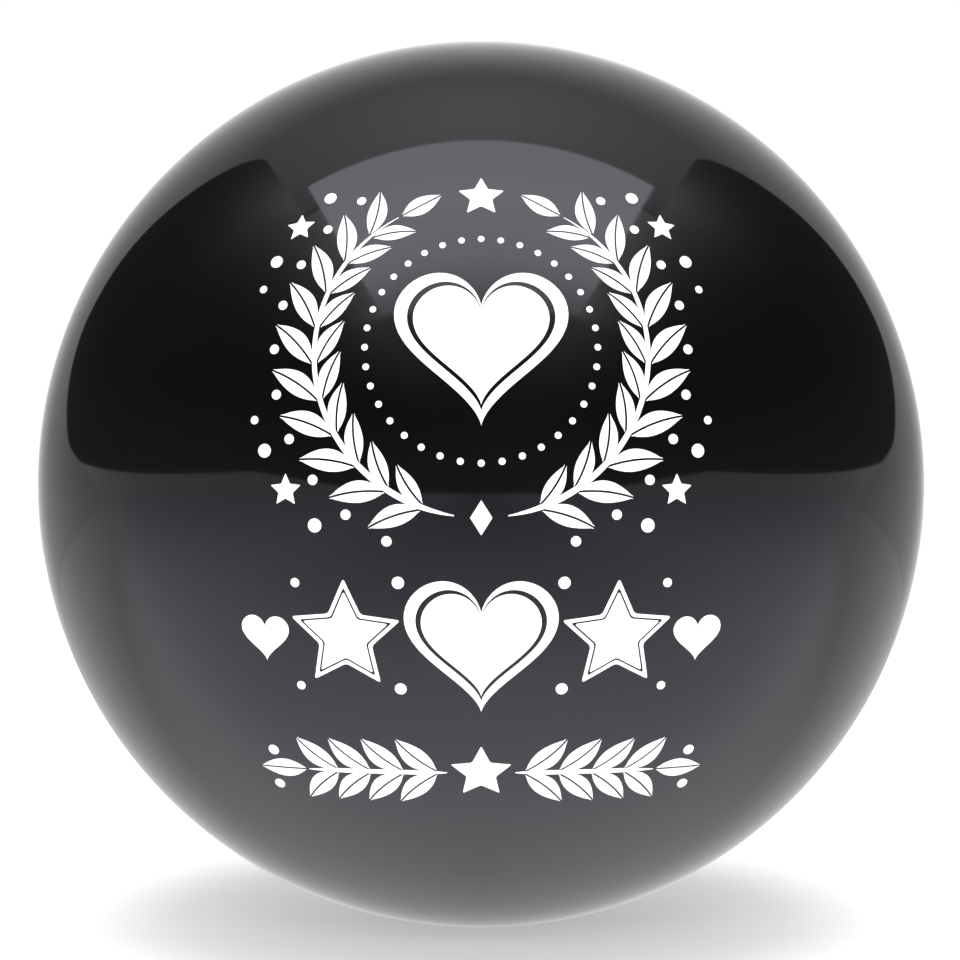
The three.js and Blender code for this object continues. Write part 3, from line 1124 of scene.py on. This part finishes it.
def mirroredFloor(nodes, links, distance):
    g = floorGlow
    maths = partial(mathNode, nodes, links)
    x, y = splitPlace(nodes, links, "Object")[:2]
    xSquare, ySquare = maths("MULTIPLY", x, x), maths("MULTIPLY", y, y)
    across = maths("ABSOLUTE", x, 0.0)
    spread = maths("ADD", xSquare, maths("MULTIPLY", ySquare, g["front"]["stretch"]))
    front = poolOfLight(maths, spread, g["front"])
    near = smoothRange(nodes, links, across, *g["near"])
    near = maths("MULTIPLY", near, smoothRange(nodes, links, y, *g["nearDepth"]))
    dip = smoothRange(nodes, links, across, *g["dip"])
    dip = maths("MULTIPLY", dip, smoothRange(nodes, links, y, *g["dipDepth"]))
    front = maths("SUBTRACT", maths("ADD", front, near), dip)
    spread = maths("ADD", ySquare, maths("MULTIPLY", xSquare, g["behind"]["stretch"]))
    behind = poolOfLight(maths, spread, g["behind"])
    ahead = maths("SUBTRACT", maths("MULTIPLY", across, g["slant"]), y)
    isFront = smoothRange(nodes, links, ahead, *g["change"])
    glow = maths("ADD", behind, maths("MULTIPLY", maths("SUBTRACT", front, behind), isFront))
    # Painted shadow: the mirrored glow darkens towards where the ball rests
    mirroredContactShadow = smoothRange(nodes, links, distance, *g["mirroredContactShadow"])
    mirrored = nodes.new("ShaderNodeEmission")
    tintShare = smoothRange(nodes, links, ahead, *g["tintChange"])
    tint = mixColours(nodes, links, tintShare, g["farTint"], g["tint"])
    links.new(tint, mirrored.inputs["Color"])
    links.new(maths("MULTIPLY", glow, mirroredContactShadow), mirrored.inputs["Strength"])
    return mirrored


def makeFloor():
    # Pale and matt, with a soft shadow under the ball. It also glows: painted light that is dim where
    # the ball rests and brighter further out, so the far floor shows white.
    deselectAll()
    bpy.ops.mesh.primitive_circle_add(
        vertices=floor["vertices"], radius=floor["radius"], fill_type="NGON"
    )
    ground = added("floor")
    material, nodes, links, shader = newMaterial("pale_floor")
    shader.inputs["Base Color"].default_value = floor["colour"]
    shader.inputs["Roughness"].default_value = floor["roughness"]
    shader.inputs["Emission Color"].default_value = (1, 1, 1, 1)
    place = nodes.new("ShaderNodeTexCoord").outputs["Object"]
    away = nodes.new("ShaderNodeVectorMath")
    away.operation = "LENGTH"
    links.new(place, away.inputs[0])
    distance = away.outputs["Value"]
    # Painted light: the floor glows, dimmer near the ball and brighter away from it
    emission = smoothRange(nodes, links, distance, *floor["emission"])
    links.new(emission, shader.inputs["Emission Strength"])
    mirrored = mirroredFloor(nodes, links, distance)
    # Glossy rays see the painted glow of mirroredFloor instead of the floor's own shading
    path = nodes.new("ShaderNodeLightPath")
    mix = nodes.new("ShaderNodeMixShader")
    links.new(path.outputs["Is Glossy Ray"], mix.inputs["Fac"])
    links.new(shader.outputs["BSDF"], mix.inputs[1])
    links.new(mirrored.outputs["Emission"], mix.inputs[2])
    links.new(mix.outputs["Shader"], nodes["Material Output"].inputs["Surface"])
    ground.data.materials.append(material)


def addLight(name, place, target, size, power):
    deselectAll()
    bpy.ops.object.light_add(type="AREA", location=place)
    light = bpy.context.object
    light.name = name
    light.data.shape = "DISK"
    light.data.size = size
    light.data.energy = power
    light.rotation_euler = (Vector(target) - Vector(place)).to_track_quat("-Z", "Y").to_euler()
    light.visible_glossy = False
    light.visible_camera = False
    return light


def haloRoundBox(nodes, links, x, y, z):
    # A haze of light round the softbox, by the distance from it where a ray meets its plane
    maths = partial(mathNode, nodes, links)
    perHeight = maths("DIVIDE", softbox["height"] - centreHeight, maths("MAXIMUM", z, room["lowestRay"]))
    boxX = maths("MULTIPLY", maths("ABSOLUTE", x, 0.0), perHeight)
    boxY = maths("SUBTRACT", maths("MULTIPLY", y, perHeight), room["haloShift"])
    beside = maths("MAXIMUM", maths("SUBTRACT", boxX, softbox["halfWidth"]), 0.0)
    past = maths("MAXIMUM", maths("SUBTRACT", boxY, softbox["back"][0]), 0.0)
    frontEdge = softbox["front"][0] + room["frontEdge"]
    before = maths("MAXIMUM", maths("SUBTRACT", frontEdge, boxY), 0.0)
    step = rangeNode(nodes, links, before, *room["frontStep"])
    before = maths("ADD", maths("MULTIPLY", before, room["haloFront"]), step)
    squares = maths("MULTIPLY", beside, beside)
    past = maths("MULTIPLY", maths("MULTIPLY", past, past), room["haloBack"])
    squares = maths("ADD", maths("ADD", squares, past), maths("MULTIPLY", before, before))
    fade = maths("MULTIPLY", maths("SQRT", squares, 0.0), room["haloFade"])
    return maths("EXPONENT", fade, 0.0)


def makeWorld():
    # White round the object. The skin mirrors a pale floor, and above it a dark room.
    world = bpy.data.worlds.new("studio")
    bpy.context.scene.world = world
    world.use_nodes = True
    nodes, links = world.node_tree.nodes, world.node_tree.links
    nodes.clear()
    output = nodes.new("ShaderNodeOutputWorld")
    maths = partial(mathNode, nodes, links)
    x, y, z = splitPlace(nodes, links, "Generated")
    edge, rise = room["frontHorizon"]
    edge = maths("ADD", maths("MULTIPLY", maths("MULTIPLY", x, x), rise), edge)
    highest, rise = room["sideHorizon"]
    highest = maths("ADD", maths("MULTIPLY", maths("MULTIPLY", y, y), rise), highest)
    above = maths("SUBTRACT", z, maths("MINIMUM", edge, highest))
    isAbove = smoothRange(nodes, links, above, -room["softness"], room["softness"], 0.0, 1.0)

    haze = rangeNode(nodes, links, z, *room["haze"])
    haze = maths("MULTIPLY", haze, rangeNode(nodes, links, y, *room["hazeDepth"]))
    halo = haloRoundBox(nodes, links, x, y, z)
    dark = maths("MULTIPLY", maths("ADD", maths("ADD", halo, haze), room["darkGlow"]), isAbove)
    pale = smoothRange(nodes, links, y, *room["pale"])
    pale = maths("MULTIPLY", pale, maths("SUBTRACT", 1.0, isAbove))
    mirrored = nodes.new("ShaderNodeBackground")
    mirrored.inputs["Color"].default_value = sweepSheet["tint"]
    links.new(maths("ADD", dark, pale), mirrored.inputs["Strength"])
    seen = nodes.new("ShaderNodeBackground")
    seen.inputs["Color"].default_value = (1, 1, 1, 1)
    path = nodes.new("ShaderNodeLightPath")
    mix = nodes.new("ShaderNodeMixShader")
    links.new(path.outputs["Is Camera Ray"], mix.inputs["Fac"])
    links.new(mirrored.outputs["Background"], mix.inputs[1])
    links.new(seen.outputs["Background"], mix.inputs[2])
    links.new(mix.outputs["Shader"], output.inputs["Surface"])


makeSoftbox()
makeSweep()
makeFloor()
makeWorld()
addLight("front_fill", place=(0, -4.2, 1.6), target=(0, 0, 0.45), size=3.0, power=110)
addLight("top_fill", place=(0, 0, 4.2), target=(0, 0, 0), size=4.0, power=160)
print("stage lit")


# The camera stands level with the middle of the ball, which fills the frame as in the photograph.
view = {
    "lens": 85.0,
    "sensor": 36.0,
    "imageWidth": 960,
    "ballRadiusPixels": 443,
    "ballRight": 1,            # pixels from the middle of the frame
    "ballDown": 4,
}


def makeCamera():
    pixelsPerSlope = view["lens"] / view["sensor"] * view["imageWidth"]
    halfAngle = math.atan(view["ballRadiusPixels"] / pixelsPerSlope)
    distance = bodyRadius / math.sin(halfAngle)
    metresPerPixel = distance / pixelsPerSlope
    deselectAll()
    bpy.ops.object.camera_add(
        location=(
            -view["ballRight"] * metresPerPixel,
            -distance,
            centreHeight + view["ballDown"] * metresPerPixel,
        ),
        rotation=(math.pi / 2, 0, 0),
    )
    camera = bpy.context.object
    camera.data.lens = view["lens"]
    camera.data.sensor_width = view["sensor"]
    bpy.context.scene.camera = camera
    print("camera stands", round(distance, 3), "m from the middle of the ball")


makeCamera()
bpy.context.scene.view_settings.view_transform = "Standard"
